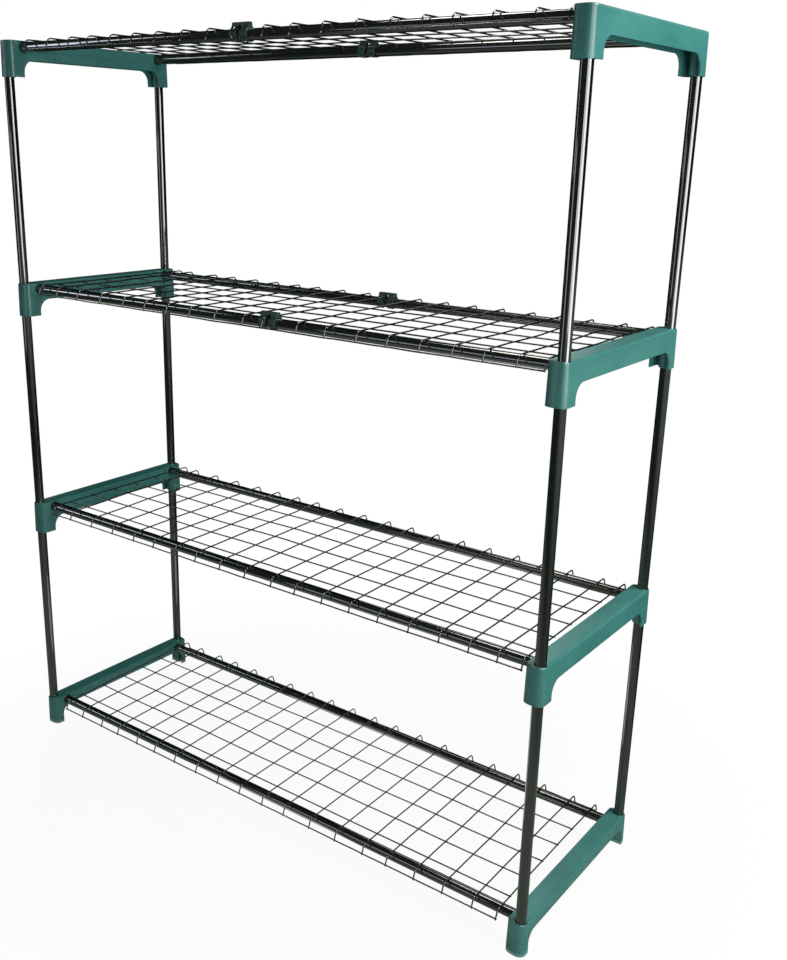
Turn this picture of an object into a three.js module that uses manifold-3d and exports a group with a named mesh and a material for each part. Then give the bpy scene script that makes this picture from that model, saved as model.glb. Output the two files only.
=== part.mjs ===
// Greenhouse staging rack: four wire shelves on plastic end frames and steel tubes.
// Millimetres, +Z up, origin on the floor at the middle of the rack.
// X runs along the shelves, Y from front to back.

import * as THREE from 'three';
import { mergeVertices } from 'three/addons/utils/BufferGeometryUtils.js';
import Module from 'manifold-3d';

const wasm = await Module();
wasm.setup();

// Whole rack
const OVERALL_WIDTH = 900;
const OVERALL_DEPTH = 300;
const PIECE_GAP = 0.3;
const OVERRUN = 5;

// Steel tubes
const LEG_DIAMETER = 13.5;
const LEG_LENGTH = 336;
const RAIL_DIAMETER = 13.5;
const TUBE_WALL = 0.9;
const TUBE_SIDES = 12;

// End frames: plan
const FRAME_WIDTH = 26;
const END_SETBACK = 4;
const INNER_CORNER = 3;
const PLAN_SEGMENTS = 3;

// End frames: heights and walls
const FRAME_HEIGHT = 48;
const BEAM_HEIGHT = 25;
const BOSS_DEPTH = 24;
const ARCH_RADIUS = 17;
const BOTTOM_FRAME_HEIGHT = 45;
const BOTTOM_BEAM_HEIGHT = 17;
const FOOT_DEPTH = 15;
const FOOT_ARCH_RADIUS = 15;
const ARCH_SEGMENTS = 4;
const TOP_EDGE_RADIUS = 3.5;
const TOP_EDGE_SEGMENTS = 2;
const FRAME_WALL = 2.4;

// Sockets in the end frames
const SOCKET_WALL = 2;
const UPPER_SOCKET_DEPTH = 20;
const SOCKET_STOP = 4;
const TOP_CAP_THICKNESS = 17.2;
const RAIL_STOP = 6;
const RAIL_COVER = 1.45;
const BORE_SPACING = 1.45;
const SOCKET_SIDES = 12;

// Wire shelves
const WIRE_DIAMETER = 2;
const CROSS_WIRE_COUNT = 18;
const END_WIRE_PITCH = 35;
const SHELF_END_CLEARANCE = 12.3;
const LONG_WIRE_COUNT = 6;
const EDGE_WIRE_INSET = 16.25;
const LIP_CLEARANCE = 3.25;
const LIP_SPREAD = 10.5;
const LIP_DROP = 12.2;
const SHELF_BACK_SHIFT = 2;

// How far each shelf lies off the middle, as shares of the clearance at its ends
const SHELF_SHIFT_SHARES = [-0.25, 0.55, 0.75, 0.9];

// Shelf clips
const CLIP_WIRE_BY_TIER = new Map([[2, 9], [3, 8]]);
const CLIP_BAND_WIDTH = 10.5;
const CLIP_BAND_SPACING = 6.5;
const CLIP_WALL = 1.7;
const CLIP_WIRE_CLEARANCE = 1.35;
const CLIP_CROWN_HALF_WIDTH = 3;
const CLIP_CROWN_THICKNESS = 3.6;
const CLIP_CROWN_CHAMFER = 0.8;
const CLIP_ARM_ANGLE = THREE.MathUtils.degToRad(-65);
const CLIP_SHOULDER_ANGLE = THREE.MathUtils.degToRad(38);
const CLIP_SHOULDER_SEGMENTS = 5;
const CLIP_BORE_SEGMENTS = 12;

// Levels worked out from the stack of frames and legs
const lowerSocketDepth = FRAME_HEIGHT - UPPER_SOCKET_DEPTH - SOCKET_STOP;
const legStep = LEG_LENGTH + 2 * PIECE_GAP;
const firstTop = BOTTOM_FRAME_HEIGHT;
const secondTop = firstTop + legStep + SOCKET_STOP;
const thirdTop = secondTop + legStep + SOCKET_STOP;
const fourthTop = thirdTop - UPPER_SOCKET_DEPTH + legStep + TOP_CAP_THICKNESS;
const tierTops = [firstTop, secondTop, thirdTop, fourthTop];

// Legs and rails, with their bores in the end frames
const halfWidth = OVERALL_WIDTH / 2;
const halfDepth = OVERALL_DEPTH / 2;
const innerFace = halfWidth - FRAME_WIDTH;
const legBore = LEG_DIAMETER / 2 + PIECE_GAP;
const railRadius = RAIL_DIAMETER / 2;
const railBore = railRadius + PIECE_GAP;
const legInset = legBore + FRAME_WALL;
const legX = halfWidth - legInset;
const legY = halfDepth - legInset;
const railY = legY - legBore - BORE_SPACING - railBore;
const railDrop = railBore + RAIL_COVER;
const railEnd = halfWidth - RAIL_STOP;

// Wire shelf: its wires lie on the rails, and its lips bend down outside them
const wireRadius = WIRE_DIAMETER / 2;
const wireAboveRail = railRadius + PIECE_GAP + wireRadius;
const endWireX = innerFace - SHELF_END_CLEARANCE - wireRadius;
const crossPitch = 2 * (endWireX - END_WIRE_PITCH) / (CROSS_WIRE_COUNT - 1);
const longPitch = 2 * (railY - EDGE_WIRE_INSET) / (LONG_WIRE_COUNT - 1);
const bendY = railY + railRadius + LIP_CLEARANCE;
const lipLength = Math.hypot(LIP_SPREAD, LIP_DROP);
const lipOutwards = LIP_SPREAD / lipLength;
const lipDownwards = LIP_DROP / lipLength;
const shelfShifts = SHELF_SHIFT_SHARES.map((share) => share * SHELF_END_CLEARANCE);

// Clip, measured from the rail's axis
const crownBottom = wireAboveRail + wireRadius + CLIP_WIRE_CLEARANCE;
const crownTop = crownBottom + CLIP_CROWN_THICKNESS;

// Materials, one for each mesh
const finishes = {
  frame: { color: 0x3d7a70, roughness: 0.42, metalness: 0 },
  tube: { color: 0x1c241f, roughness: 0.22, metalness: 0.3 },
  wire: { color: 0x1f2a26, roughness: 0.35, metalness: 0.4 },
  clip: { color: 0x2c4a3f, roughness: 0.45, metalness: 0 },
};

function nodeMesh(name, geometry, finish) {
  const mesh = new THREE.Mesh(geometry, new THREE.MeshStandardMaterial(finishes[finish]));
  mesh.name = name;
  return mesh;
}

// Conversion between three.js geometry and closed solids
function toSolid(geometry) {
  const bare = geometry.clone();
  bare.deleteAttribute('normal');
  bare.deleteAttribute('uv');
  const merged = mergeVertices(bare);
  return new wasm.Manifold(new wasm.Mesh({
    numProp: 3,
    vertProperties: new Float32Array(merged.attributes.position.array),
    triVerts: new Uint32Array(merged.index.array),
  }));
}

function toGeometry(solid) {
  const { vertProperties, triVerts } = solid.getMesh();
  const geometry = new THREE.BufferGeometry();
  geometry.setAttribute('position', new THREE.BufferAttribute(vertProperties, 3));
  geometry.setIndex(new THREE.BufferAttribute(triVerts, 1));
  geometry.computeVertexNormals();
  return geometry;
}

// Prism of a plan shape between two heights
function uprightPrism(shape, bottom, top, segments) {
  const options = { depth: top - bottom, bevelEnabled: false, curveSegments: segments };
  const geometry = new THREE.ExtrudeGeometry(shape, options);
  geometry.translate(0, 0, bottom);
  return toSolid(geometry);
}

// Prism of a Y-Z shape between two places along X
function sidePrism(shape, start, end, segments) {
  const options = { depth: end - start, bevelEnabled: false, curveSegments: segments };
  const geometry = new THREE.ExtrudeGeometry(shape, options);
  geometry.rotateX(Math.PI / 2);
  geometry.rotateZ(Math.PI / 2);
  geometry.translate(start, 0, 0);
  return toSolid(geometry);
}

// Prism of an X-Z shape centred along Y
function lengthPrism(shape, length, segments) {
  const options = { depth: length, bevelEnabled: false, curveSegments: segments };
  const geometry = new THREE.ExtrudeGeometry(shape, options);
  geometry.rotateX(Math.PI / 2);
  geometry.translate(0, length / 2, 0);
  return toSolid(geometry);
}

function uprightCylinder(radius, x, y, bottom, top) {
  const geometry = new THREE.CylinderGeometry(radius, radius, top - bottom, SOCKET_SIDES);
  geometry.rotateX(Math.PI / 2);
  geometry.translate(x, y, (bottom + top) / 2);
  return toSolid(geometry);
}

function lyingCylinder(radius, start, end, y, z) {
  const geometry = new THREE.CylinderGeometry(radius, radius, end - start, SOCKET_SIDES);
  geometry.rotateZ(Math.PI / 2);
  geometry.translate((start + end) / 2, y, z);
  return toSolid(geometry);
}

// Hollow round tube along Z, standing on its own origin
function tubeGeometry(diameter, length) {
  const outer = diameter / 2;
  const inner = outer - TUBE_WALL;
  const profile = [
    new THREE.Vector2(inner, 0),
    new THREE.Vector2(outer, 0),
    new THREE.Vector2(outer, length),
    new THREE.Vector2(inner, length),
    new THREE.Vector2(inner, 0),
  ];
  const geometry = new THREE.LatheGeometry(profile, TUBE_SIDES);
  geometry.rotateX(Math.PI / 2);
  return geometry;
}

// Plan outline of an end frame on the +X side, drawn in from its faces by an inset
function framePlan(inset) {
  const outer = halfWidth - inset;
  const inner = innerFace + inset;
  const end = halfDepth - inset;
  const innerEnd = halfDepth - END_SETBACK - inset;
  const corner = legInset - inset;
  const shape = new THREE.Shape();
  shape.moveTo(outer, -legY);
  shape.lineTo(outer, legY);
  shape.absarc(legX, legY, corner, 0, Math.PI / 2);
  shape.quadraticCurveTo((legX + inner) / 2, end, inner + INNER_CORNER, innerEnd);
  shape.quadraticCurveTo(inner, innerEnd, inner, innerEnd - INNER_CORNER);
  shape.lineTo(inner, INNER_CORNER - innerEnd);
  shape.quadraticCurveTo(inner, -innerEnd, inner + INNER_CORNER, -innerEnd);
  shape.quadraticCurveTo((legX + inner) / 2, -end, legX, -end);
  shape.absarc(legX, -legY, corner, -Math.PI / 2, 0);
  return shape;
}

// Side outline of an end frame: a beam with a boss at each end and an arch between them
function archOutline(height, beam, boss, radius) {
  const inside = halfDepth - boss;
  const shape = new THREE.Shape();
  shape.moveTo(-halfDepth, 0);
  shape.lineTo(-halfDepth, -height);
  shape.lineTo(-inside, -height);
  shape.lineTo(-inside, -beam - radius);
  shape.absarc(radius - inside, -beam - radius, radius, Math.PI, Math.PI / 2, true);
  shape.lineTo(inside - radius, -beam);
  shape.absarc(inside - radius, -beam - radius, radius, Math.PI / 2, 0, true);
  shape.lineTo(inside, -height);
  shape.lineTo(halfDepth, -height);
  shape.lineTo(halfDepth, 0);
  return shape;
}

// End section of an end frame: its outer top edge is rounded
function topEdgeOutline(height) {
  const shape = new THREE.Shape();
  shape.moveTo(innerFace - OVERRUN, -height);
  shape.lineTo(halfWidth, -height);
  shape.lineTo(halfWidth, -TOP_EDGE_RADIUS);
  shape.absarc(halfWidth - TOP_EDGE_RADIUS, -TOP_EDGE_RADIUS, TOP_EDGE_RADIUS, 0, Math.PI / 2);
  shape.lineTo(innerFace - OVERRUN, 0);
  return shape;
}

// End frame of the +X side, its top face at height zero
function frameGeometry({ height, beam, boss, radius, upperSocket, lowerSocket }) {
  const arch = archOutline(height, beam, boss, radius);
  const block = uprightPrism(framePlan(0), -height, 0, PLAN_SEGMENTS)
    .intersect(sidePrism(arch, innerFace - OVERRUN, halfWidth + OVERRUN, ARCH_SEGMENTS))
    .intersect(lengthPrism(topEdgeOutline(height), OVERALL_DEPTH + OVERRUN, TOP_EDGE_SEGMENTS));
  const below = -height - OVERRUN;
  const socketDepth = railDrop + railBore + SOCKET_WALL;
  const socketStart = railY - railBore - SOCKET_WALL;
  let hollow = uprightPrism(framePlan(FRAME_WALL), below, -FRAME_WALL, PLAN_SEGMENTS);
  for (const side of [-1, 1]) {
    const socket = new THREE.BoxGeometry(FRAME_WIDTH, halfDepth - socketStart, socketDepth);
    socket.translate(halfWidth - FRAME_WIDTH / 2, side * (halfDepth + socketStart) / 2, -socketDepth / 2);
    const column = uprightCylinder(legBore + SOCKET_WALL, legX, side * legY, below - OVERRUN, 0);
    hollow = hollow.subtract(toSolid(socket)).subtract(column);
  }
  let frame = block.subtract(hollow);
  for (const side of [-1, 1]) {
    frame = frame.subtract(lyingCylinder(railBore, innerFace - OVERRUN, railEnd, side * railY, -railDrop));
    if (upperSocket > 0) {
      frame = frame.subtract(uprightCylinder(legBore, legX, side * legY, -upperSocket, OVERRUN));
    }
    if (lowerSocket > 0) {
      frame = frame.subtract(uprightCylinder(legBore, legX, side * legY, below, lowerSocket - height));
    }
  }
  return toGeometry(frame);
}

const archedFrame = { height: FRAME_HEIGHT, beam: BEAM_HEIGHT, boss: BOSS_DEPTH, radius: ARCH_RADIUS };
const bottomFrame = frameGeometry({
  height: BOTTOM_FRAME_HEIGHT,
  beam: BOTTOM_BEAM_HEIGHT,
  boss: FOOT_DEPTH,
  radius: FOOT_ARCH_RADIUS,
  upperSocket: UPPER_SOCKET_DEPTH,
  lowerSocket: 0,
});
const middleFrame = frameGeometry({
  ...archedFrame,
  upperSocket: UPPER_SOCKET_DEPTH,
  lowerSocket: lowerSocketDepth,
});
const topFrame = frameGeometry({
  ...archedFrame,
  upperSocket: 0,
  lowerSocket: FRAME_HEIGHT - TOP_CAP_THICKNESS,
});
const frameByTier = [bottomFrame, middleFrame, middleFrame, topFrame];

// Places of the cross wires along a shelf, from its middle
function crossWirePlaces() {
  const places = [];
  for (let wire = 0; wire < CROSS_WIRE_COUNT; wire += 1) {
    places.push((wire - (CROSS_WIRE_COUNT - 1) / 2) * crossPitch);
  }
  return [-endWireX, ...places, endWireX];
}

// Places of the long wires and of the two hems, measured along a bent cross wire
function longWirePlaces() {
  const places = [];
  for (let wire = 0; wire < LONG_WIRE_COUNT; wire += 1) {
    places.push((wire - (LONG_WIRE_COUNT - 1) / 2) * longPitch);
  }
  return [-bendY - lipLength, ...places, bendY + lipLength];
}

// Point of the bent shelf: along the shelf, along its bent cross wires, and out from
// the wires' middle surface. The lips slant down and outwards beyond the bends.
function shelfPoint(x, run, out) {
  const side = Math.sign(run);
  const beyond = Math.abs(run) - bendY;
  const onLip = Math.max(beyond, 0);
  const mitre = beyond === 0 ? 1 + lipOutwards : 1;
  const normalY = beyond < 0 ? 0 : side * lipDownwards / mitre;
  const normalZ = beyond > 0 ? lipOutwards : 1;
  const y = side * (Math.min(Math.abs(run), bendY) + onLip * lipOutwards);
  return new THREE.Vector3(x, y + normalY * out, -onLip * lipDownwards + normalZ * out);
}

// Crossing of two three-sided wires: a flat square top over one ridge point.
// Each side is seen by someone who leaves the crossing through it.
function wireCrossing(x, run) {
  const ridge = shelfPoint(x, run, -wireRadius);
  const southWest = shelfPoint(x - wireRadius, run - wireRadius, wireRadius);
  const southEast = shelfPoint(x + wireRadius, run - wireRadius, wireRadius);
  const northEast = shelfPoint(x + wireRadius, run + wireRadius, wireRadius);
  const northWest = shelfPoint(x - wireRadius, run + wireRadius, wireRadius);
  return {
    top: [southWest, southEast, northEast, northWest],
    east: { left: northEast, right: southEast, ridge },
    west: { left: southWest, right: northWest, ridge },
    north: { left: northWest, right: northEast, ridge },
    south: { left: southEast, right: southWest, ridge },
  };
}

// Wire shelf, its wires' middle surface at height zero: cross wires with a bent lip at
// each end, long wires between them and a hem wire along each lip, all welded
function shelfGeometry() {
  const columns = crossWirePlaces();
  const rows = longWirePlaces();
  const triangles = [];
  const addFace = (first, ...others) => {
    for (let step = 1; step < others.length; step += 1) {
      triangles.push(first, others[step - 1], others[step]);
    }
  };
  const closeSide = ({ left, right, ridge }) => addFace(right, ridge, left);
  const arriving = ({ left, right, ridge }) => ({ left: right, right: left, ridge });
  const addWire = (rings) => {
    for (let step = 1; step < rings.length; step += 1) {
      const near = rings[step - 1];
      const far = rings[step];
      addFace(near.right, far.right, far.left, near.left);
      addFace(near.right, near.ridge, far.ridge, far.right);
      addFace(near.left, far.left, far.ridge, near.ridge);
    }
  };
  const bendsBetween = (x, start, end) => [-bendY, bendY]
    .filter((bend) => bend > start && bend < end)
    .map((bend) => ({
      left: shelfPoint(x - wireRadius, bend, wireRadius),
      right: shelfPoint(x + wireRadius, bend, wireRadius),
      ridge: shelfPoint(x, bend, -wireRadius),
    }));
  columns.forEach((x, column) => {
    rows.forEach((run, row) => {
      const here = wireCrossing(x, run);
      addFace(...here.top);
      if (column === 0) closeSide(here.west);
      if (row === 0) closeSide(here.south);
      if (column === columns.length - 1) {
        closeSide(here.east);
      } else {
        const next = wireCrossing(columns[column + 1], run);
        addWire([here.east, arriving(next.west)]);
      }
      if (row === rows.length - 1) {
        closeSide(here.north);
      } else {
        const next = wireCrossing(x, rows[row + 1]);
        addWire([here.north, ...bendsBetween(x, run, rows[row + 1]), arriving(next.south)]);
      }
    });
  });
  const net = new THREE.BufferGeometry().setFromPoints(triangles);
  const geometry = mergeVertices(net);
  geometry.computeVertexNormals();
  return geometry;
}

// Clip section around a rail at the origin, across the rail along X and up along Y.
// A sprung ring grips the rail, and a narrow crown stands over the shelf wires.
function clipOutline() {
  const ring = railBore + CLIP_WALL;
  const chamferStart = crownTop - CLIP_CROWN_CHAMFER;
  const flatEnd = CLIP_CROWN_HALF_WIDTH - CLIP_CROWN_CHAMFER;
  const shape = new THREE.Shape();
  shape.absarc(0, 0, ring, Math.PI - CLIP_ARM_ANGLE, Math.PI - CLIP_SHOULDER_ANGLE, true);
  shape.lineTo(-CLIP_CROWN_HALF_WIDTH, crownBottom);
  shape.lineTo(-CLIP_CROWN_HALF_WIDTH, chamferStart);
  shape.lineTo(-flatEnd, crownTop);
  shape.lineTo(flatEnd, crownTop);
  shape.lineTo(CLIP_CROWN_HALF_WIDTH, chamferStart);
  shape.lineTo(CLIP_CROWN_HALF_WIDTH, crownBottom);
  shape.absarc(0, 0, ring, CLIP_SHOULDER_ANGLE, CLIP_ARM_ANGLE, true);
  for (let step = 0; step <= CLIP_BORE_SEGMENTS; step += 1) {
    const angle = CLIP_ARM_ANGLE + (Math.PI - 2 * CLIP_ARM_ANGLE) * step / CLIP_BORE_SEGMENTS;
    shape.lineTo(railBore * Math.cos(angle), railBore * Math.sin(angle));
  }
  return shape;
}

// Clip centred on a rail's axis: two bands either side of a cross wire, joined by the
// crown above it
function clipGeometry() {
  const halfLength = CLIP_BAND_WIDTH + CLIP_BAND_SPACING / 2;
  const bands = sidePrism(clipOutline(), -halfLength, halfLength, CLIP_SHOULDER_SEGMENTS);
  const slotReach = railBore + CLIP_WALL + OVERRUN;
  const slot = new THREE.BoxGeometry(CLIP_BAND_SPACING, 2 * slotReach, crownBottom + slotReach);
  slot.translate(0, 0, (crownBottom - slotReach) / 2);
  return toGeometry(bands.subtract(toSolid(slot)));
}

const shelf = shelfGeometry();
const clip = clipGeometry();
const legTube = tubeGeometry(LEG_DIAMETER, LEG_LENGTH);
const railLength = 2 * (railEnd - PIECE_GAP);
const railTube = tubeGeometry(RAIL_DIAMETER, railLength);

const rack = new THREE.Group();
const ends = [['left', -1], ['right', 1]];
const faces = [['front', -1], ['back', 1]];

tierTops.forEach((top, tier) => {
  for (const [end, sideX] of ends) {
    const frame = nodeMesh(`end_frame_${tier + 1}_${end}`, frameByTier[tier], 'frame');
    frame.position.z = top;
    frame.rotation.z = sideX > 0 ? 0 : Math.PI;
    rack.add(frame);
  }
  for (const [face, sideY] of faces) {
    const rail = nodeMesh(`rail_${tier + 1}_${face}`, railTube, 'tube');
    rail.rotation.y = Math.PI / 2;
    rail.position.set(-railLength / 2, sideY * railY, top - railDrop);
    rack.add(rail);
  }
  const panel = nodeMesh(`wire_shelf_${tier + 1}`, shelf, 'wire');
  panel.position.set(shelfShifts[tier], SHELF_BACK_SHIFT, top - railDrop + wireAboveRail);
  rack.add(panel);
});

for (let bay = 0; bay < tierTops.length - 1; bay += 1) {
  for (const [end, sideX] of ends) {
    for (const [face, sideY] of faces) {
      const leg = nodeMesh(`leg_${bay + 1}_${face}_${end}`, legTube, 'tube');
      leg.position.set(sideX * legX, sideY * legY, tierTops[bay] - UPPER_SOCKET_DEPTH + PIECE_GAP);
      rack.add(leg);
    }
  }
}

for (const [tier, wire] of CLIP_WIRE_BY_TIER) {
  const wireX = shelfShifts[tier] + (wire - (CROSS_WIRE_COUNT - 1) / 2) * crossPitch;
  for (const [face, sideY] of faces) {
    const holder = nodeMesh(`shelf_clip_${tier + 1}_${face}`, clip, 'clip');
    holder.rotation.z = sideY > 0 ? 0 : Math.PI;
    holder.position.set(wireX, sideY * railY, tierTops[tier] - railDrop);
    rack.add(holder);
  }
}

export default rack;
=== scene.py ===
import math

import bmesh
import bpy
from mathutils import Matrix, Vector, noise


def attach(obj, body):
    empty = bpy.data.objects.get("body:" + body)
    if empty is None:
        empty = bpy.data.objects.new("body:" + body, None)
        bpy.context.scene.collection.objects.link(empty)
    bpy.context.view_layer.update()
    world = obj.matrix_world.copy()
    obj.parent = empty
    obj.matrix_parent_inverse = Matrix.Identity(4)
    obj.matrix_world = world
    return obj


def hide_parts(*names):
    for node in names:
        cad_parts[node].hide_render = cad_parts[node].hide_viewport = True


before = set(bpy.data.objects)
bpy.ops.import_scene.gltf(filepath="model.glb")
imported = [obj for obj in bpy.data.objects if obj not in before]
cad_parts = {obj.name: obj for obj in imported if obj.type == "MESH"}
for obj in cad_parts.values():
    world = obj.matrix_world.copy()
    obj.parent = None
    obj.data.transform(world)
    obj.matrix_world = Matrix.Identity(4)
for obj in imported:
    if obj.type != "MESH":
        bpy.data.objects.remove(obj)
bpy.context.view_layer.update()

# The rack is written in millimetres and scaled when a mesh is made. The stage is in metres.
MM = 0.001

# Without a seed the waviness of the wires would start from the time of day
WAVE_SEED = 1
noise.seed_set(WAVE_SEED)

# Camera of the photograph: pixels of the picture, and the eye in millimetres
IMAGE_WIDTH = 787
IMAGE_HEIGHT = 960
FOCAL_PIXELS = 1077.87
PRINCIPAL_POINT = (358.28, 479.33)
EYE = (920.95, -1128.46, 932.24)
EYE_RIGHT = (0.79766381, 0.60279821, 0.01915108)
EYE_DOWN = (0.1938461, -0.22618242, -0.95460212)
EYE_FORWARD = (-0.57110081, 0.76516392, -0.29726762)
SENSOR = 36.0
NEAREST = 0.01
FARTHEST = 60

# Rack sizes, as in the solids
HALF_WIDTH = 450.0
HALF_DEPTH = 150.0
INNER_FACE = 424.0
TIER_TOPS = (45.0, 385.6, 726.2, 1060.0)
LEG_X = 440.55
LEG_Y = 140.55
LEG_RADIUS = 6.75
LEG_LENGTH = 336.0
RAIL_Y = 125.0
RAIL_DROP = 8.5
RAIL_RADIUS = 6.75
RAIL_END = 443.7
TUBE_WALL = 0.9
END_PLAY = 0.3
UPPER_SOCKET = 20.0
FRAME_WALL = 2.4
TOP_CAP = 17.2
LOOSE_SHELVES = 2
FRONT_AND_BACK = (("front", -1), ("back", 1))
LEFT_AND_RIGHT = (("left", -1), ("right", 1))

# End frames: height, height of the beam, depth of a boss, radius of the arch between the bosses,
# and depth of the leg sockets above and below
FOOT_FRAME = (45, 17, 15, 15, UPPER_SOCKET, 0)
MIDDLE_FRAME = (48, 25, 24, 17, UPPER_SOCKET, 24)
TOP_FRAME = (48, 25, 24, 17, 0, 48 - TOP_CAP)

# Outer shape of the end frames. The inner corner is a curve with four control points in plan.
CORNER_RADIUS = 9.45
INNER_CORNER = ((LEG_X, HALF_DEPTH), (433.0, HALF_DEPTH), (INNER_FACE, 149.2), (INNER_FACE, 141.5))
CURVE_STEPS = 14
FRAME_DRAFT = 0.9
OUTER_EDGE_RADIUS = 3.2
END_EDGE_RADIUS = 1.3
INNER_EDGE_RADIUS = 0.8
EDGE_BLEND = 1.5
EDGE_STEPS = 6

# Bores of the end frames and the walls round them. Cutters reach past what they cut.
LEG_BORE = 7.3
RAIL_BORE = 7.6
BORE_SIDES = 40
COLUMN_RADIUS = 9.05
SOCKET_WALL = 2.0
SOCKET_BLOCK_X = (420, 455)
CUT_X = (415, 460)
CUT_TOP = 1.0
OVERCUT = 5.0

# Soft edges and shading. Edges sharper than the bevel angle are rounded, edges sharper than a
# crease angle stay sharp in the shading.
BEVEL_ANGLE = 38
MOULD_EDGE = 0.6
MOULD_EDGE_SEGMENTS = 2
CLIP_EDGE = 0.4
CLIP_EDGE_SEGMENTS = 3
MOULD_CREASE = 30
TUBE_CREASE = 40
WIRE_CREASE = 50

# Tubes: the softened edge of an open end, and two rings behind it that keep its shading short
TUBE_SIDES = 56
TUBE_SOFT_EDGE = 0.35
TUBE_EDGE_BULGE = 0.3
TUBE_RINGS = (0.6, 3.0)

# Wires
WIRE_RADIUS = 1.0
WIRE_SIDES = 12
WELD_DEPTH = 0.35
SHELF_PLAY = 0.05
SHELF_SHIFTS = (-3.075, 6.765, 9.225, 11.07)
SHELF_BACK_SHIFT = 2.0
CROSS_WIRES = 18
CROSS_PITCH = 44.2
END_WIRE_X = 410.7
CROSS_STEPS = 13
CROSS_STEP = 10.0
LONG_WIRES = 6
LONG_PITCH = 43.5
LONG_OVERHANG = 0.5
LONG_STEPS = 84

# Domed wire ends: place of a ring along the wire and its width, both in wire radii
DOME = ((-0.35, 0.55), (-0.12, 0.9))

# Lips. The hem wire is as far below the cross wires as in the solids, where these lie a little
# under the top of the frames.
HEM_Y = 144.2
BACK_LIP_INSET = 2.5
SOLID_WIRE_DROP = 0.45
LIP_DROP = 12.7
LIP_ANGLE = 70
LIP_OVERHANG = 0.9
LIP_STEPS = 3
BEND_RADIUS = 6.5
BEND_STEPS = 9

# Waviness of the shelves: length of the waves in x and y, and how far they move a wire in x, y
# and z. The middle of a shelf waves between its rails, its lips have finer waves of their own.
WAVE_LENGTH = (120.0, 90.0)
WAVE_DEPTH = (0.5, 0.35, 1.6)
WAVE_TIER_STEP = 7.3
FREE_HALF_DEPTH = 118.0
LIP_WAVE_LENGTH = (35.0, 60.0)
LIP_WAVE_DEPTH = (0.5, 0.6)
LIP_WAVE_TIER_STEP = 3.1
LIP_WAVE_START = 20
LIP_WAVE_FROM = 135.0
LIP_WAVE_RISE = 10.0

# How far each cross wire stands to the right of its even place, from the left end wire to the
# right one: the front end of the wire, then its back end
FRONT_STRAY = (
    (9, 14, 16, 10.4, 10.7, 6.4, 6.1, 7.3, 7.5, 7,
     6.3, 2.4, 4.8, 5.5, 8.1, 2.2, 2, 1, 0.5, 0),
    (0, 5.5, 9, 12, 14, 12.3, 11.2, 8, 10.5, 12.3,
     15.2, 11.6, 13.3, 13, 12.8, 14.2, 13.8, 10.5, 5, 1.2),
    (-1.5, 2.8, 4, 8, 11, 9.5, 8, 6.5, 7.5, 11.5,
     0, 11, 10.5, 13, 12.5, 12.5, 11, 6.4, 3, 1),
    (0, 13, 13.6, 7.7, 6.3, 3.4, 1.4, 2.5, 1.9, 0,
     2.5, -0.7, 0.7, 2.2, 3.4, -0.6, -8, -5.7, -3, -1),
)
BACK_STRAY = (
    (2, 3.4, 6.2, 0.4, 2, -2, -2.6, -1.1, -1.1, 0,
     0.3, -2, -0.2, 1.8, 4.9, -0.3, -2.5, -3.2, -0.8, -2.4),
    (0, -6.8, -3.5, 0.8, 5.6, 4.7, 2.8, -0.7, 2.3, 4.2,
     6.5, 4.7, 6.1, 6.2, 6.6, 8, 5, 2, 4.2, -1.5),
    (0, -9.4, 1.9, -1.1, 2.4, 1.7, 0.3, -4.1, -0.9, 1.8,
     0, 2.3, 2.7, 3.8, 3, 4.6, 1, -0.7, 0.4, 0),
    (0, 6, 6, 3, 2.5, 1.5, 0.5, 1, 1, 0,
     1, -0.5, 0.5, 1, 1.5, 0, -4, -3, -1.5, 0),
)
STRAY_FRONT_Y = -133.0
STRAY_BACK_Y = 137.0

# Clips: the cross wire that each tier's clips stand on, then the outline round the rail. The
# neck is the outline's side above the ring, from the shoulder to the top of the crown.
CLIP_WIRES = {2: 9, 3: 8}
CLIP_BORE = 6.95
CLIP_WALL = 1.8
CLIP_ARM_ANGLE = -65
CLIP_SHOULDER_ANGLE = 38
CLIP_NECK = ((4.5, 8.1), (3.45, 9.6), (3.0, 11.3), (3.0, 13.1), (2.75, 13.65), (2.2, 14.0))
CLIP_OUTER_STEPS = 24
CLIP_INNER_STEPS = 40
CLIP_HALF_LENGTH = 13.75
CLIP_SLOT = 6.5
CLIP_CROWN_BOTTOM = 10.4
CLIP_CUT_Y = (-30, 40)
CLIP_CUT_BOTTOM = -20


def new_object(name, data):
    obj = bpy.data.objects.new(name, data)
    bpy.context.scene.collection.objects.link(obj)
    return obj


def mesh_object(name, points, faces, scale=MM):
    mesh = bpy.data.meshes.new(name)
    mesh.from_pydata([Vector(point) * scale for point in points], [], faces)
    mesh.update()
    return new_object(name, mesh)


def drop(obj):
    mesh = obj.data
    bpy.data.objects.remove(obj)
    bpy.data.meshes.remove(mesh)


def shade_smooth(obj, crease_angle):
    """Smooth shading with creases where faces meet at more than the angle."""
    mesh = obj.data
    mesh.polygons.foreach_set("use_smooth", [True] * len(mesh.polygons))
    mesh.set_sharp_from_angle(angle=math.radians(crease_angle))
    mesh.update()


def shade_moulding(obj):
    """Creases at the edges of a moulding, and shading that follows its large faces."""
    shade_smooth(obj, MOULD_CREASE)
    soft = obj.modifiers.new("soft", "WEIGHTED_NORMAL")
    soft.keep_sharp = True


def bake(obj):
    """Replace an object's mesh by the result of its modifiers."""
    depsgraph = bpy.context.evaluated_depsgraph_get()
    depsgraph.update()
    result = bpy.data.meshes.new_from_object(obj.evaluated_get(depsgraph))
    old = obj.data
    obj.modifiers.clear()
    obj.data = result
    bpy.data.meshes.remove(old)


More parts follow.
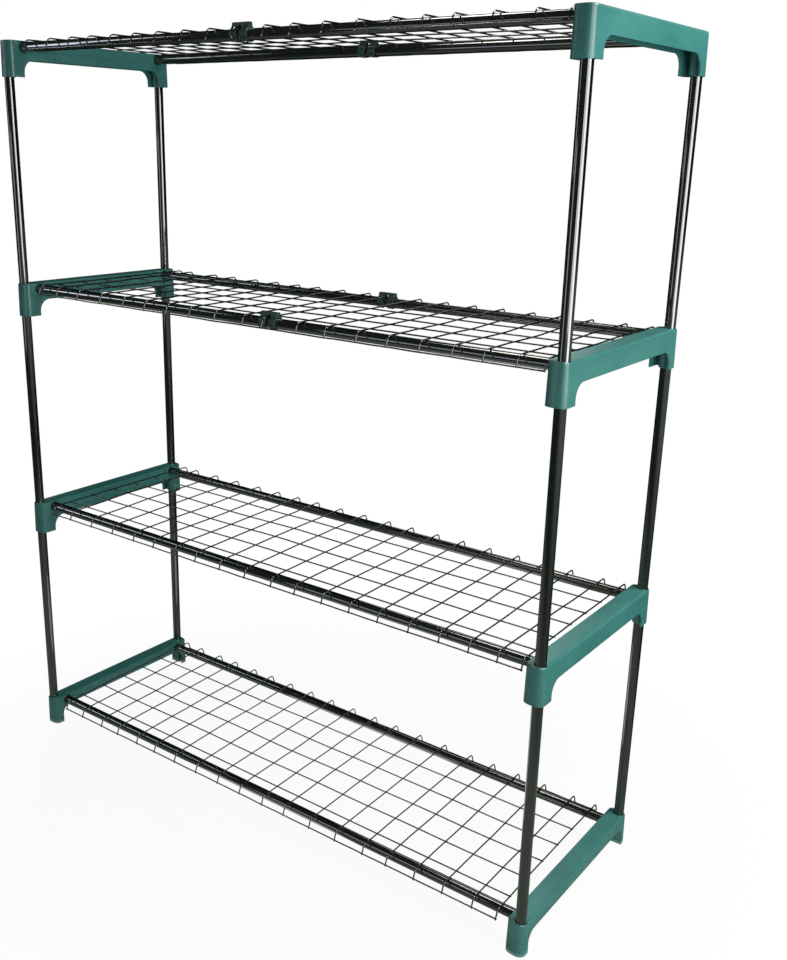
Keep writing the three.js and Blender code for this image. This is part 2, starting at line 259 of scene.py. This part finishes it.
def cut(target, cutter):
    """Take the cutter's shape out of the target and remove the cutter."""
    modifier = target.modifiers.new("cut", "BOOLEAN")
    modifier.object = cutter
    modifier.operation = "DIFFERENCE"
    modifier.solver = "EXACT"
    bake(target)
    drop(cutter)


def round_edges(obj, width, segments):
    edges = obj.modifiers.new("edges", "BEVEL")
    edges.width = width * MM
    edges.segments = segments
    edges.limit_method = "ANGLE"
    edges.angle_limit = math.radians(BEVEL_ANGLE)
    bake(obj)


def outward(obj):
    """Turn all faces of a closed mesh outwards."""
    work = bmesh.new()
    work.from_mesh(obj.data)
    bmesh.ops.recalc_face_normals(work, faces=work.faces)
    work.to_mesh(obj.data)
    work.free()
    return obj


def band(low, high, count):
    """Faces between two closed rings of vertices, given the index at which each ring starts."""
    faces = []
    for index in range(count):
        after = (index + 1) % count
        faces.append([low + index, low + after, high + after, high + index])
    return faces


def prism(outline, axis, start, end):
    """Closed prism of a flat outline along x or z. The outline's values are the other two axes."""
    count = len(outline)
    points = []
    for level in (start, end):
        for first, second in outline:
            points.append((level, first, second) if axis == "x" else (first, second, level))
    faces = [list(range(count))[::-1], list(range(count, 2 * count))] + band(0, count, count)
    return outward(mesh_object("prism", points, faces))


def round_bar(axis, centre, radius, start, end):
    turn = 2 * math.pi / BORE_SIDES
    outline = [(centre[0] + radius * math.cos(i * turn), centre[1] + radius * math.sin(i * turn))
               for i in range(BORE_SIDES)]
    return prism(outline, axis, start, end)


def box(low, high):
    outline = [(low[0], low[1]), (high[0], low[1]), (high[0], high[1]), (low[0], high[1])]
    return prism(outline, "z", low[2], high[2])


def arc(centre, radius, start, end, steps):
    """Points on a circle between two angles in degrees, both ends included."""
    points = []
    for step in range(steps + 1):
        angle = math.radians(start + (end - start) * step / steps)
        points.append((centre[0] + radius * math.cos(angle), centre[1] + radius * math.sin(angle)))
    return points


def cubic(a, b, c, d, steps):
    """Points on a cubic curve with four control points, the first one left out."""
    points = []
    for step in range(1, steps + 1):
        t = step / steps
        s = 1 - t
        points.append(tuple(
            s ** 3 * a[k] + 3 * s * s * t * b[k] + 3 * s * t * t * c[k] + t ** 3 * d[k]
            for k in range(2)))
    return points


# End frames

def frame_plan():
    """Plan of the right end frame, anticlockwise, with the outward normal at each point."""
    half = [(HALF_WIDTH, 0.0)]
    half += arc((LEG_X, LEG_Y), CORNER_RADIUS, 0, 90, CURVE_STEPS)
    half += cubic(*INNER_CORNER, CURVE_STEPS)
    half += [(INNER_FACE, 0.0)]
    points = half + [(x, -y) for x, y in half[1:-1]][::-1]
    normals = []
    for index, point in enumerate(points):
        before = points[index - 1]
        after = points[(index + 1) % len(points)]
        into = Vector((point[0] - before[0], point[1] - before[1])).normalized()
        away = Vector((after[0] - point[0], after[1] - point[1])).normalized()
        normals.append(Vector((into.y + away.y, -into.x - away.x)).normalized())
    return points, normals


def inset_plan(inset):
    points, normals = frame_plan()
    return [(p[0] - n.x * inset, p[1] - n.y * inset) for p, n in zip(points, normals)]


def frame_block(height):
    """Solid block of an end frame with drafted sides and a rounded top edge."""
    points, normals = frame_plan()
    count = len(points)
    vertices = [(p[0], p[1], -height) for p in points]
    for step in range(EDGE_STEPS + 1):
        angle = math.pi / 2 * step / EDGE_STEPS
        for p, n in zip(points, normals):
            side = OUTER_EDGE_RADIUS if n.x > 0 else INNER_EDGE_RADIUS
            radius = END_EDGE_RADIUS + (side - END_EDGE_RADIUS) * abs(n.x) ** EDGE_BLEND
            level = -radius + radius * math.sin(angle)
            inset = FRAME_DRAFT * (height + level) / height + radius * (1 - math.cos(angle))
            vertices.append((p[0] - n.x * inset, p[1] - n.y * inset, level))
    top = len(vertices) - count
    faces = [list(range(count))[::-1], [top + i for i in range(count)]]
    for low in range(0, top, count):
        faces += band(low, low + count, count)
    return mesh_object("block", vertices, faces)


def arch_outline(height, beam, boss, radius):
    """What is cut out under the beam between the two bosses, as (y, z) points."""
    inside = HALF_DEPTH - boss
    below = -height - OVERCUT
    points = [(-inside, below), (-inside, -beam - radius)]
    points += arc((radius - inside, -beam - radius), radius, 180, 90, CURVE_STEPS)[1:]
    points += arc((inside - radius, -beam - radius), radius, 90, 0, CURVE_STEPS)
    points += [(inside, below)]
    return points


def frame_shape(height, beam, boss, arch, upper, lower):
    """Right end frame with its top face at height zero: outer block, arch, hollow and bores."""
    below = -height - OVERCUT
    shape = frame_block(height)
    cut(shape, prism(arch_outline(height, beam, boss, arch), "x", *CUT_X))
    hollow = prism(inset_plan(FRAME_WALL), "z", below, -FRAME_WALL)
    socket_low = -RAIL_DROP - RAIL_BORE - SOCKET_WALL
    for side in (-1, 1):
        near = side * (RAIL_Y - RAIL_BORE - SOCKET_WALL)
        far = side * (HALF_DEPTH + OVERCUT)
        cut(hollow, box((SOCKET_BLOCK_X[0], min(near, far), socket_low),
                        (SOCKET_BLOCK_X[1], max(near, far), CUT_TOP)))
        leg = (LEG_X, side * LEG_Y)
        cut(hollow, round_bar("z", leg, COLUMN_RADIUS, below - OVERCUT, CUT_TOP))
    cut(shape, hollow)
    for side in (-1, 1):
        rail = (side * RAIL_Y, -RAIL_DROP)
        cut(shape, round_bar("x", rail, RAIL_BORE, CUT_X[0], RAIL_END + END_PLAY))
        leg = (LEG_X, side * LEG_Y)
        if upper:
            cut(shape, round_bar("z", leg, LEG_BORE, -upper, OVERCUT))
        if lower:
            cut(shape, round_bar("z", leg, LEG_BORE, below, lower - height))
    round_edges(shape, MOULD_EDGE, MOULD_EDGE_SEGMENTS)
    return shape


# Tubes and wires

def tube_mesh(name, start, end, radius):
    """Hollow round tube between two points, its end edges slightly rounded."""
    start = Vector(start)
    end = Vector(end)
    length = (end - start).length
    along = (end - start).normalized()
    across = along.orthogonal().normalized()
    other = along.cross(across)
    soft = TUBE_SOFT_EDGE
    bulge = TUBE_EDGE_BULGE * soft
    profile = [(0, radius - TUBE_WALL), (0, radius - soft), (bulge, radius - bulge), (soft, radius)]
    profile += [(soft + ring, radius) for ring in TUBE_RINGS]
    profile += [(length - distance, reach) for distance, reach in profile[::-1]]
    points = []
    for distance, reach in profile:
        for index in range(TUBE_SIDES):
            angle = 2 * math.pi * index / TUBE_SIDES
            points.append(start + along * distance
                          + (across * math.cos(angle) + other * math.sin(angle)) * reach)
    faces = []
    for row in range(len(profile)):
        after = (row + 1) % len(profile)
        faces += band(row * TUBE_SIDES, after * TUBE_SIDES, TUBE_SIDES)
    obj = outward(mesh_object(name, points, faces))
    shade_smooth(obj, TUBE_CREASE)
    return obj


def sweep(points, vertices, faces):
    """Add a round wire along the points, with slightly domed ends, to the lists."""
    last = len(points) - 1
    tangents = [(points[min(index + 1, last)] - points[max(index - 1, 0)]).normalized()
                for index in range(last + 1)]
    stations = [(0, shift, width) for shift, width in DOME]
    stations += [(index, 0.0, 1.0) for index in range(last + 1)]
    stations += [(last, -shift, width) for shift, width in DOME[::-1]]
    across = tangents[0].orthogonal().normalized()
    rings = []
    for index, shift, width in stations:
        along = tangents[index]
        across = (across - along * across.dot(along)).normalized()
        other = along.cross(across)
        rings.append(len(vertices))
        for step in range(WIRE_SIDES):
            angle = 2 * math.pi * step / WIRE_SIDES
            reach = (across * math.cos(angle) + other * math.sin(angle)) * WIRE_RADIUS * width
            vertices.append(points[index] + along * (shift * WIRE_RADIUS) + reach)
    for low, high in zip(rings, rings[1:]):
        faces.extend(band(low, high, WIRE_SIDES))
    faces.append([rings[0] + step for step in range(WIRE_SIDES)][::-1])
    faces.append([rings[-1] + step for step in range(WIRE_SIDES)])


def cross_wire_path(lip_y, lip_z):
    """Half of a bent cross wire, from its middle to the end of its lip, as (y, z) points."""
    slope = math.radians(LIP_ANGLE)
    straight = (-lip_z - BEND_RADIUS * (1 - math.cos(slope))) / math.tan(slope)
    centre = (lip_y - straight - BEND_RADIUS * math.sin(slope), -BEND_RADIUS)
    points = [(step * CROSS_STEP, 0.0) for step in range(CROSS_STEPS)]
    points += arc(centre, BEND_RADIUS, 90, 90 - LIP_ANGLE, BEND_STEPS)
    y, z = points[-1]
    end_y = lip_y + LIP_OVERHANG * math.cos(slope)
    end_z = lip_z - LIP_OVERHANG * math.sin(slope)
    points += [(y + (end_y - y) * step / LIP_STEPS, z + (end_z - z) * step / LIP_STEPS)
               for step in range(1, LIP_STEPS + 1)]
    return points


def uneven(x, y, z, tier):
    """Slight waviness of the welded mesh. Welded wires move together, rail contacts stay."""
    wave = noise.noise_vector(
        Vector((x / WAVE_LENGTH[0], y / WAVE_LENGTH[1], tier * WAVE_TIER_STEP)))
    fine = noise.noise_vector(
        Vector((x / LIP_WAVE_LENGTH[0], y / LIP_WAVE_LENGTH[1],
                tier * LIP_WAVE_TIER_STEP + LIP_WAVE_START)))
    free = max(0.0, 1 - (abs(y) / FREE_HALF_DEPTH) ** 2)
    edge = max(0.0, min(1.0, (abs(y) - LIP_WAVE_FROM) / LIP_WAVE_RISE))
    return Vector((x + WAVE_DEPTH[0] * wave.x,
                   y + WAVE_DEPTH[1] * wave.y + LIP_WAVE_DEPTH[0] * edge * fine.y,
                   z + WAVE_DEPTH[2] * free * wave.z + LIP_WAVE_DEPTH[1] * edge * fine.z))


def stray(tier, wire, y):
    """How far a cross wire stands off its even place at a depth y. It is straight in plan."""
    share = (y - STRAY_FRONT_Y) / (STRAY_BACK_Y - STRAY_FRONT_Y)
    front = FRONT_STRAY[tier][wire]
    return front + (BACK_STRAY[tier][wire] - front) * share


def even_wire_x(wire):
    """Even place of a cross wire between the two end wires, counted from the left."""
    return (wire - (CROSS_WIRES - 1) / 2) * CROSS_PITCH


def shelf_mesh(tier):
    """Welded wire shelf: cross wires on the rails, long wires under them, hems in the lips."""
    shift = SHELF_SHIFTS[tier]
    rest = TIER_TOPS[tier] - RAIL_DROP + RAIL_RADIUS + WIRE_RADIUS + SHELF_PLAY
    lower = 2 * WIRE_RADIUS - WELD_DEPTH
    hem_z = TIER_TOPS[tier] - SOLID_WIRE_DROP - LIP_DROP - rest
    lip_y = HEM_Y + math.sin(math.radians(LIP_ANGLE)) * lower
    lip_z = hem_z + math.cos(math.radians(LIP_ANGLE)) * lower
    vertices = []
    faces = []

    def add_wire(path):
        places = [uneven(x, y, z, tier) for x, y, z in path]
        sweep([Vector((p.x, p.y + SHELF_BACK_SHIFT, p.z + rest)) for p in places],
              vertices, faces)

    profile = [(-y, z) for y, z in cross_wire_path(lip_y, lip_z)[:0:-1]]
    profile += cross_wire_path(lip_y - BACK_LIP_INSET, lip_z)
    cross = [-END_WIRE_X] + [even_wire_x(i) for i in range(CROSS_WIRES)] + [END_WIRE_X]
    for wire, x in enumerate(cross):
        add_wire([(x + shift + stray(tier, wire, y + SHELF_BACK_SHIFT), y, z)
                  for y, z in profile])

    rows = [((i - (LONG_WIRES - 1) / 2) * LONG_PITCH, -lower) for i in range(LONG_WIRES)]
    rows += [(-HEM_Y, hem_z), (HEM_Y - BACK_LIP_INSET, hem_z)]
    for y, z in rows:
        left = cross[0] + stray(tier, 0, y + SHELF_BACK_SHIFT) - LONG_OVERHANG
        right = cross[-1] + stray(tier, len(cross) - 1, y + SHELF_BACK_SHIFT) + LONG_OVERHANG
        add_wire([(left + (right - left) * step / LONG_STEPS + shift, y, z)
                  for step in range(LONG_STEPS + 1)])
    obj = mesh_object("shelf", vertices, faces)
    shade_smooth(obj, WIRE_CREASE)
    return obj


def clip_shape():
    """Clip around the origin: two sprung bands round the rail, joined by a narrow crown."""
    outer = CLIP_BORE + CLIP_WALL
    side = arc((0, 0), outer, CLIP_ARM_ANGLE, CLIP_SHOULDER_ANGLE, CLIP_OUTER_STEPS)
    side += CLIP_NECK
    outline = side + [(-x, z) for x, z in side[::-1]]
    outline += arc((0, 0), CLIP_BORE, 180 - CLIP_ARM_ANGLE, CLIP_ARM_ANGLE, CLIP_INNER_STEPS)
    clip = prism(outline, "x", -CLIP_HALF_LENGTH, CLIP_HALF_LENGTH)
    cut(clip, box((-CLIP_SLOT / 2, CLIP_CUT_Y[0], CLIP_CUT_BOTTOM),
                  (CLIP_SLOT / 2, CLIP_CUT_Y[1], CLIP_CROWN_BOTTOM)))
    round_edges(clip, CLIP_EDGE, CLIP_EDGE_SEGMENTS)
    return clip


def place_copy(name, source, matrix):
    mesh = source.data.copy()
    mesh.transform(matrix)
    return new_object(name, mesh)


def dress(obj, name, material, body, node):
    obj.name = name
    obj.data.name = name
    obj.data.materials.clear()
    obj.data.materials.append(material)
    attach(obj, body)
    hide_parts(node)


# Materials. A noise texture stays near its middle, so most of it lies between these two values.
NOISE_LOW = 0.3
NOISE_HIGH = 0.7


class NodeTree:
    """Nodes of one material or world. The methods below add nodes and return an output."""

    def __init__(self, owner):
        owner.use_nodes = True
        self.nodes = owner.node_tree.nodes
        self.links = owner.node_tree.links
        self.nodes.clear()

    def add(self, kind, inputs=None, **settings):
        """New node. An input is linked where it is another node's output, and set otherwise."""
        node = self.nodes.new(kind)
        for name, value in settings.items():
            setattr(node, name, value)
        for key, value in (inputs or {}).items():
            if isinstance(value, bpy.types.NodeSocket):
                self.links.new(value, node.inputs[key])
            else:
                node.inputs[key].default_value = value
        return node

    def place(self):
        """A point's place in its own object, in metres. All objects stand at the origin."""
        return self.add("ShaderNodeTexCoord").outputs["Object"]

    def noise(self, scale, detail=3.0, roughness=0.5, stretch=None):
        place = self.place()
        if stretch:
            place = self.add("ShaderNodeMapping",
                             {"Vector": place, "Scale": stretch}).outputs["Vector"]
        return self.add("ShaderNodeTexNoise", {
            "Vector": place, "Scale": scale, "Detail": detail, "Roughness": roughness,
        }).outputs["Fac"]

    def ramp(self, factor, *stops):
        node = self.add("ShaderNodeValToRGB", {"Fac": factor})
        elements = node.color_ramp.elements
        for element, (position, color) in ((elements[0], stops[0]), (elements[1], stops[-1])):
            element.position = position
            element.color = (*color, 1)
        for position, color in stops[1:-1]:
            elements.new(position).color = (*color, 1)
        return node.outputs["Color"]

    def line(self, value, start, end):
        """Straight line between two (value, result) points, level outside them."""
        return self.add("ShaderNodeMapRange", {
            "Value": value, "From Min": start[0], "From Max": end[0],
            "To Min": start[1], "To Max": end[1],
        }).outputs["Result"]

    def spread(self, texture, low, high):
        """A noise texture widened to reach from low to high."""
        return self.line(texture, (NOISE_LOW, low), (NOISE_HIGH, high))

    def bump(self, height, distance, strength, normal=None):
        inputs = {"Height": height, "Distance": distance * MM, "Strength": strength}
        if normal:
            inputs["Normal"] = normal
        return self.add("ShaderNodeBump", inputs).outputs["Normal"]

    def math(self, operation, *values):
        return self.add("ShaderNodeMath", dict(enumerate(values)),
                        operation=operation).outputs["Value"]

    def distance(self):
        """Distance from the middle of the set."""
        return self.add("ShaderNodeVectorMath", {0: self.place()},
                        operation="LENGTH").outputs["Value"]

    def seen(self):
        """One for what the camera, gloss and glass see, nothing for what lights the rack."""
        path = self.add("ShaderNodeLightPath").outputs
        gloss = self.math("MAXIMUM", path["Is Camera Ray"], path["Is Glossy Ray"])
        return self.math("MAXIMUM", gloss, path["Is Transmission Ray"])

    def mix(self, factor, first, second):
        return self.add("ShaderNodeMixShader",
                        {"Fac": factor, 1: first, 2: second}).outputs["Shader"]


def principled(name, make_inputs):
    """Material of one Principled shader, whose inputs are made by a function of its nodes."""
    material = bpy.data.materials.new(name)
    tree = NodeTree(material)
    shader = tree.add("ShaderNodeBsdfPrincipled", make_inputs(tree))
    tree.add("ShaderNodeOutputMaterial", {"Surface": shader.outputs["BSDF"]})
    return material


def moulded_plastic(dark, middle, light):
    """Satin moulded plastic: slow flow marks in the colour, a fine grain and uneven gloss."""
    def make_inputs(tree):
        flow = tree.noise(22, detail=4, roughness=0.55, stretch=(1.0, 0.35, 1.0))
        wave = tree.bump(tree.noise(40, detail=2), distance=0.25, strength=0.03)
        grain = tree.noise(1500, detail=2)
        return {
            "Base Color": tree.ramp(flow, (0.3, dark), (0.5, middle), (0.72, light)),
            "Roughness": tree.spread(tree.noise(90), 0.27, 0.35),
            "Normal": tree.bump(grain, distance=0.03, strength=0.05, normal=wave),
            "IOR": 1.75,
        }
    return make_inputs


def painted_tube(tree):
    """Gloss enamel over steel tube: near black green, very slightly uneven."""
    return {
        "Base Color": tree.ramp(tree.noise(14), (0.3, (0.002, 0.0045, 0.002)),
                                (0.7, (0.004, 0.008, 0.0045))),
        "Roughness": tree.spread(tree.noise(45, detail=4), 0.06, 0.09),
        "Normal": tree.bump(tree.noise(90, detail=2), distance=0.03, strength=0.015),
        "IOR": 1.8,
        "Coat Weight": 1.0,
        "Coat Roughness": 0.05,
        "Coat IOR": 1.9,
    }


def coated_wire(tree):
    """Thin plastic coat on wire: satin, a little lumpy, under a gloss skin."""
    return {
        "Base Color": tree.ramp(tree.noise(60), (0.3, (0.003, 0.0055, 0.004)),
                                (0.7, (0.008, 0.012, 0.009))),
        "Roughness": tree.spread(tree.noise(150), 0.14, 0.24),
        "Normal": tree.bump(tree.noise(500, detail=2), distance=0.05, strength=0.1),
        "IOR": 1.8,
        "Coat Weight": 1.0,
        "Coat Roughness": 0.07,
        "Coat IOR": 1.9,
    }


frame_plastic = principled("frame_plastic", moulded_plastic(
    (0.035, 0.168, 0.150), (0.044, 0.202, 0.181), (0.057, 0.236, 0.213)))
clip_plastic = principled("clip_plastic", moulded_plastic(
    (0.012, 0.042, 0.028), (0.018, 0.060, 0.040), (0.026, 0.080, 0.054)))
tube_paint = principled("tube_paint", painted_tube)
wire_coat = principled("wire_coat", coated_wire)

# Pieces: end frames
foot, middle, upper = (frame_shape(*sizes) for sizes in (FOOT_FRAME, MIDDLE_FRAME, TOP_FRAME))
for tier, shape in enumerate((foot, middle, middle, upper)):
    for side, turn in (("right", 0.0), ("left", math.pi)):
        matrix = Matrix.Translation((0, 0, TIER_TOPS[tier] * MM)) @ Matrix.Rotation(turn, 4, "Z")
        name = f"moulded_end_{tier + 1}_{side}"
        piece = place_copy(name, shape, matrix)
        shade_moulding(piece)
        dress(piece, name, frame_plastic, "rack", f"end_frame_{tier + 1}_{side}")
for shape in (foot, middle, upper):
    drop(shape)

# Pieces: rails and legs
for tier, top in enumerate(TIER_TOPS):
    for face, side in FRONT_AND_BACK:
        name = f"rail_tube_{tier + 1}_{face}"
        y, z = side * RAIL_Y, top - RAIL_DROP
        half_length = RAIL_END - END_PLAY
        piece = tube_mesh(name, (-half_length, y, z), (half_length, y, z), RAIL_RADIUS)
        dress(piece, name, tube_paint, "rack", f"rail_{tier + 1}_{face}")
for bay in range(len(TIER_TOPS) - 1):
    for face, side_y in FRONT_AND_BACK:
        for end, side_x in LEFT_AND_RIGHT:
            name = f"leg_tube_{bay + 1}_{face}_{end}"
            x, y = side_x * LEG_X, side_y * LEG_Y
            low = TIER_TOPS[bay] - UPPER_SOCKET + END_PLAY
            piece = tube_mesh(name, (x, y, low), (x, y, low + LEG_LENGTH), LEG_RADIUS)
            dress(piece, name, tube_paint, "rack", f"leg_{bay + 1}_{face}_{end}")

# Pieces: wire shelves. The two lower ones are loose, each a body of its own.
for tier in range(len(TIER_TOPS)):
    piece = shelf_mesh(tier)
    body = f"shelf_{tier + 1}" if tier < LOOSE_SHELVES else "rack"
    dress(piece, f"mesh_shelf_{tier + 1}", wire_coat, body, f"wire_shelf_{tier + 1}")

# Pieces: clips
clip = clip_shape()
for tier, wire in CLIP_WIRES.items():
    x = SHELF_SHIFTS[tier] + even_wire_x(wire)
    for face, side in FRONT_AND_BACK:
        turn = 0.0 if side > 0 else math.pi
        place = Matrix.Translation(Vector((x, side * RAIL_Y, TIER_TOPS[tier] - RAIL_DROP)) * MM)
        name = f"spring_clip_{tier + 1}_{face}"
        piece = place_copy(name, clip, place @ Matrix.Rotation(turn, 4, "Z"))
        shade_moulding(piece)
        dress(piece, name, clip_plastic, "rack", f"shelf_clip_{tier + 1}_{face}")
drop(clip)

# Stage: floor, world, lamps and a dome of painted reflection, in metres
FLOOR_HALF = 8
FLOOR_COLOR = (0.82, 0.82, 0.82, 1)
WHITE = (1, 1, 1, 1)
FILL_COLOR = (0.93, 0.97, 1.0, 1)
FILL_STRENGTH = 0.09

# The floor is white where it is seen. Near the rack a little of its own paper shows through the
# white and keeps the rack's shadow.
floor_corners = [(-1, -1), (1, -1), (1, 1), (-1, 1)]
floor = mesh_object("floor", [(x * FLOOR_HALF, y * FLOOR_HALF, 0) for x, y in floor_corners],
                    [(0, 1, 2, 3)], scale=1)
floor_look = bpy.data.materials.new("floor")
tree = NodeTree(floor_look)
paper = tree.add("ShaderNodeBsdfDiffuse", {"Color": FLOOR_COLOR}).outputs["BSDF"]
glow = tree.add("ShaderNodeEmission", {"Color": WHITE, "Strength": 1.0}).outputs["Emission"]
fade = tree.line(tree.distance(), (0.4, 0.93), (0.7, 1.0))
share = tree.math("MULTIPLY", tree.seen(), fade)
tree.add("ShaderNodeOutputMaterial", {"Surface": tree.mix(share, paper, glow)})
floor.data.materials.append(floor_look)

# World: white where it is seen, a soft even fill where it lights
world = bpy.data.worlds.new("studio")
bpy.context.scene.world = world
tree = NodeTree(world)
fill, white = (
    tree.add("ShaderNodeBackground", {"Color": color, "Strength": strength}).outputs["Background"]
    for color, strength in ((FILL_COLOR, FILL_STRENGTH), (WHITE, 1.0)))
tree.add("ShaderNodeOutputWorld", {"Surface": tree.mix(tree.seen(), fill, white)})

# Lamps: name, place, what it points at, width, height, power and colour
LAMPS = (
    ("side_box", (1.64, -0.31, 0.9), (0.4, -0.14, 0.9), 0.8, 0.84, 10.8, (1, 1, 1)),
    ("front_box", (-0.82, -1.95, 0.62), (0.1, 0.0, 0.62), 0.8, 0.66, 1.8, (0.86, 0.9, 1.0)),
    ("corner_box", (1.5, -1.02, 1.0), (0.44, -0.14, 0.86), 0.42, 0.96, 3.9, (1, 1, 1)),
    ("left_strip", (-2.0, -1.4, 1.5), (-0.2, 0.0, 0.7), 0.2, 1.4, 3.2, (0.8, 0.88, 1.0)),
    ("top_strip", (-0.7, 0.2, 2.7), (-0.1, 0.0, 0.6), 0.9, 0.3, 6, (1.0, 0.97, 0.9)),
    ("upper_box", (1.0, 0.25, 1.72), (1.3, 0.05, 0.6), 0.7, 0.5, 21, (1, 1, 1)),
    ("back_box", (-0.66, 1.55, 1.45), (0.44, 0.0, 0.73), 0.7, 0.5, 1.6, (1, 1, 1)),
)
for name, position, target, width, height, power, color in LAMPS:
    data = bpy.data.lights.new(name, "AREA")
    data.shape = "RECTANGLE"
    data.size = width
    data.size_y = height
    data.energy = power
    data.color = color
    obj = new_object(name, data)
    obj.location = position
    aim = Vector(target) - Vector(position)
    obj.rotation_euler = aim.to_track_quat("-Z", "Y").to_euler()

# Painted reflection of a dark room: a dome over the set, and a skirt that runs from its foot to the
# rack just above the floor. Only gloss shows it, and its glow paints what the tubes and plastic
# reflect. It is dark over most of the dome, and palest close to the rack and in front of it, and
# low down at the far right.
ROOM_RADIUS = 5.0
ROOM_FLOOR = 0.004
ROOM_SIDES = 48
ROOM_LEVELS = (0, 2, 20, 35, 50, 65, 80, 90)
SKIRT_RADIUS = 0.2
# Colour of the painted reflection
PAINTED_REFLECTION_COLOR = (0.88, 1.0, 0.86, 1)
rings = [(SKIRT_RADIUS, ROOM_FLOOR)]
rings += [(ROOM_RADIUS * math.cos(math.radians(level)),
           ROOM_FLOOR + ROOM_RADIUS * math.sin(math.radians(level))) for level in ROOM_LEVELS]
vertices = []
for reach, height in rings:
    for turn in range(ROOM_SIDES):
        angle = 2 * math.pi * turn / ROOM_SIDES
        vertices.append((reach * math.cos(angle), reach * math.sin(angle), height))
faces = []
for row in range(len(rings) - 1):
    faces += band(row * ROOM_SIDES, (row + 1) * ROOM_SIDES, ROOM_SIDES)
room = mesh_object("painted_reflection_dome", vertices, faces, scale=1)
for ray in ("camera", "diffuse", "transmission", "volume_scatter", "shadow"):
    setattr(room, f"visible_{ray}", False)
room_look = bpy.data.materials.new("painted_reflection_dome")
tree = NodeTree(room_look)
axes = tree.add("ShaderNodeSeparateXYZ", {"Vector": tree.place()}).outputs
near = tree.line(tree.distance(), (0.75, 0.22), (1.5, 0.04))
in_front = tree.line(axes["Y"], (0.1, 1.0), (0.5, 0.1))
rightward = tree.line(axes["X"], (1.0, 0.0), (2.6, 0.25))
low_down = tree.line(axes["Z"], (0.05, 1.0), (0.6, 0.0))
pale = tree.math("MULTIPLY", near, in_front)
painted_reflection_strength = tree.math("MULTIPLY_ADD", rightward, low_down, pale)
# Painted reflection: a glow that only gloss sees, its strength set by place on the dome
painted_reflection_glow = tree.add("ShaderNodeEmission", {"Color": PAINTED_REFLECTION_COLOR, "Strength": painted_reflection_strength}).outputs["Emission"]
tree.add("ShaderNodeOutputMaterial", {"Surface": painted_reflection_glow})
room.data.materials.append(room_look)

# Camera
right = Vector(EYE_RIGHT)
up = -Vector(EYE_DOWN)
back = -Vector(EYE_FORWARD)
camera_data = bpy.data.cameras.new("camera")
camera_data.sensor_fit = "AUTO"
camera_data.sensor_width = SENSOR
camera_data.lens = FOCAL_PIXELS / IMAGE_HEIGHT * SENSOR
camera_data.shift_x = (IMAGE_WIDTH / 2 - PRINCIPAL_POINT[0]) / IMAGE_HEIGHT
camera_data.shift_y = (PRINCIPAL_POINT[1] - IMAGE_HEIGHT / 2) / IMAGE_HEIGHT
camera_data.clip_start = NEAREST
camera_data.clip_end = FARTHEST
camera = new_object("camera", camera_data)
camera.matrix_world = Matrix((
    (right.x, up.x, back.x, EYE[0] * MM),
    (right.y, up.y, back.y, EYE[1] * MM),
    (right.z, up.z, back.z, EYE[2] * MM),
    (0, 0, 0, 1),
))
bpy.context.scene.camera = camera
bpy.context.scene.view_settings.view_transform = "Standard"
